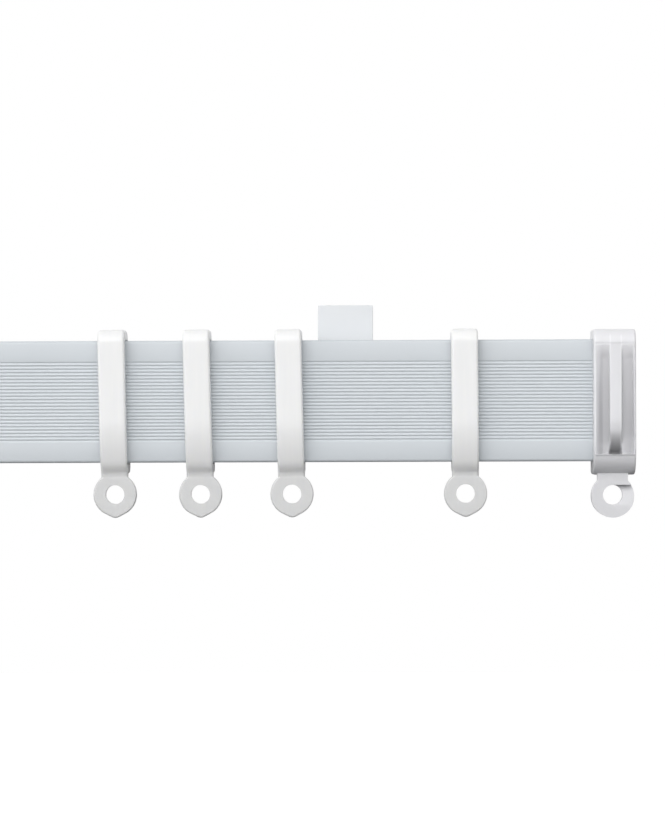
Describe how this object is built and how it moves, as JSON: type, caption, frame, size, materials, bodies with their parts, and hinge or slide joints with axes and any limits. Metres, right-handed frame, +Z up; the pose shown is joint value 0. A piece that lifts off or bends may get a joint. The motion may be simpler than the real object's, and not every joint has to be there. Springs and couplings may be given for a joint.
{
  "type": "curtain track",
  "caption": "White fluted curtain track with hook-over gliders, an eyeleted stop at each end and turn-lock brackets for a wall or a ceiling.",
  "frame": {"origin": "on the wall plane, midway between the two wall screw holes of the right-hand bracket", "axes": "+X along the rail to the picture's right, +Y from the rail's face to the wall, +Z up"},
  "size_m": [0.2228, 0.043, 0.0492],
  "materials": {
    "track_upvc": "extruded rigid PVC, satin, cool white",
    "glider_nylon": "moulded nylon, smooth, slightly translucent white",
    "end_stop_acetal": "moulded acetal, smooth, white",
    "bracket_nylon": "moulded nylon, fine satin, white",
    "lever_acetal": "moulded acetal, smooth, white",
    "screw_steel": "bright zinc plated steel"
  },
  "bodies": {
    "rail": {"track": "track_upvc", "end_stop_left": "end_stop_acetal", "end_stop_right": "end_stop_acetal", "bracket_left": "bracket_nylon", "bracket_right": "bracket_nylon"},
    "glider_1": {"glider_1": "glider_nylon"},
    "glider_2": {"glider_2": "glider_nylon"},
    "glider_3": {"glider_3": "glider_nylon"},
    "glider_4": {"glider_4": "glider_nylon"},
    "glider_5": {"glider_5": "glider_nylon"},
    "glider_6": {"glider_6": "glider_nylon"},
    "lock_left": {"locking_lever_left": "lever_acetal", "locking_cam_left": "lever_acetal", "cam_screw_left": "screw_steel"},
    "lock_right": {"locking_lever_right": "lever_acetal", "locking_cam_right": "lever_acetal", "cam_screw_right": "screw_steel"}
  },
  "joints": [
    {"name": "glider_1_slide", "type": "slide", "parent": "rail", "child": "glider_1", "axis": [1, 0, 0], "range_m": [-0.01375, 0.0041]},
    {"name": "glider_2_slide", "type": "slide", "parent": "rail", "child": "glider_2", "axis": [1, 0, 0], "range_m": [-0.0041, 0.02185]},
    {"name": "glider_3_slide", "type": "slide", "parent": "rail", "child": "glider_3", "axis": [1, 0, 0], "range_m": [-0.02185, 0.00432]},
    {"name": "glider_4_slide", "type": "slide", "parent": "rail", "child": "glider_4", "axis": [1, 0, 0], "range_m": [-0.00432, 0.00513]},
    {"name": "glider_5_slide", "type": "slide", "parent": "rail", "child": "glider_5", "axis": [1, 0, 0], "range_m": [-0.00513, 0.0148]},
    {"name": "glider_6_slide", "type": "slide", "parent": "rail", "child": "glider_6", "axis": [1, 0, 0], "range_m": [-0.0148, 0.02335]},
    {"name": "lock_left_turn", "type": "hinge", "parent": "rail", "child": "lock_left", "pos_m": [-0.09, -0.031, -0.0046], "axis": [0, 1, 0], "range_deg": [0, 90]},
    {"name": "lock_right_turn", "type": "hinge", "parent": "rail", "child": "lock_right", "pos_m": [0, -0.031, -0.0046], "axis": [0, 1, 0], "range_deg": [0, 90]}
  ]
}
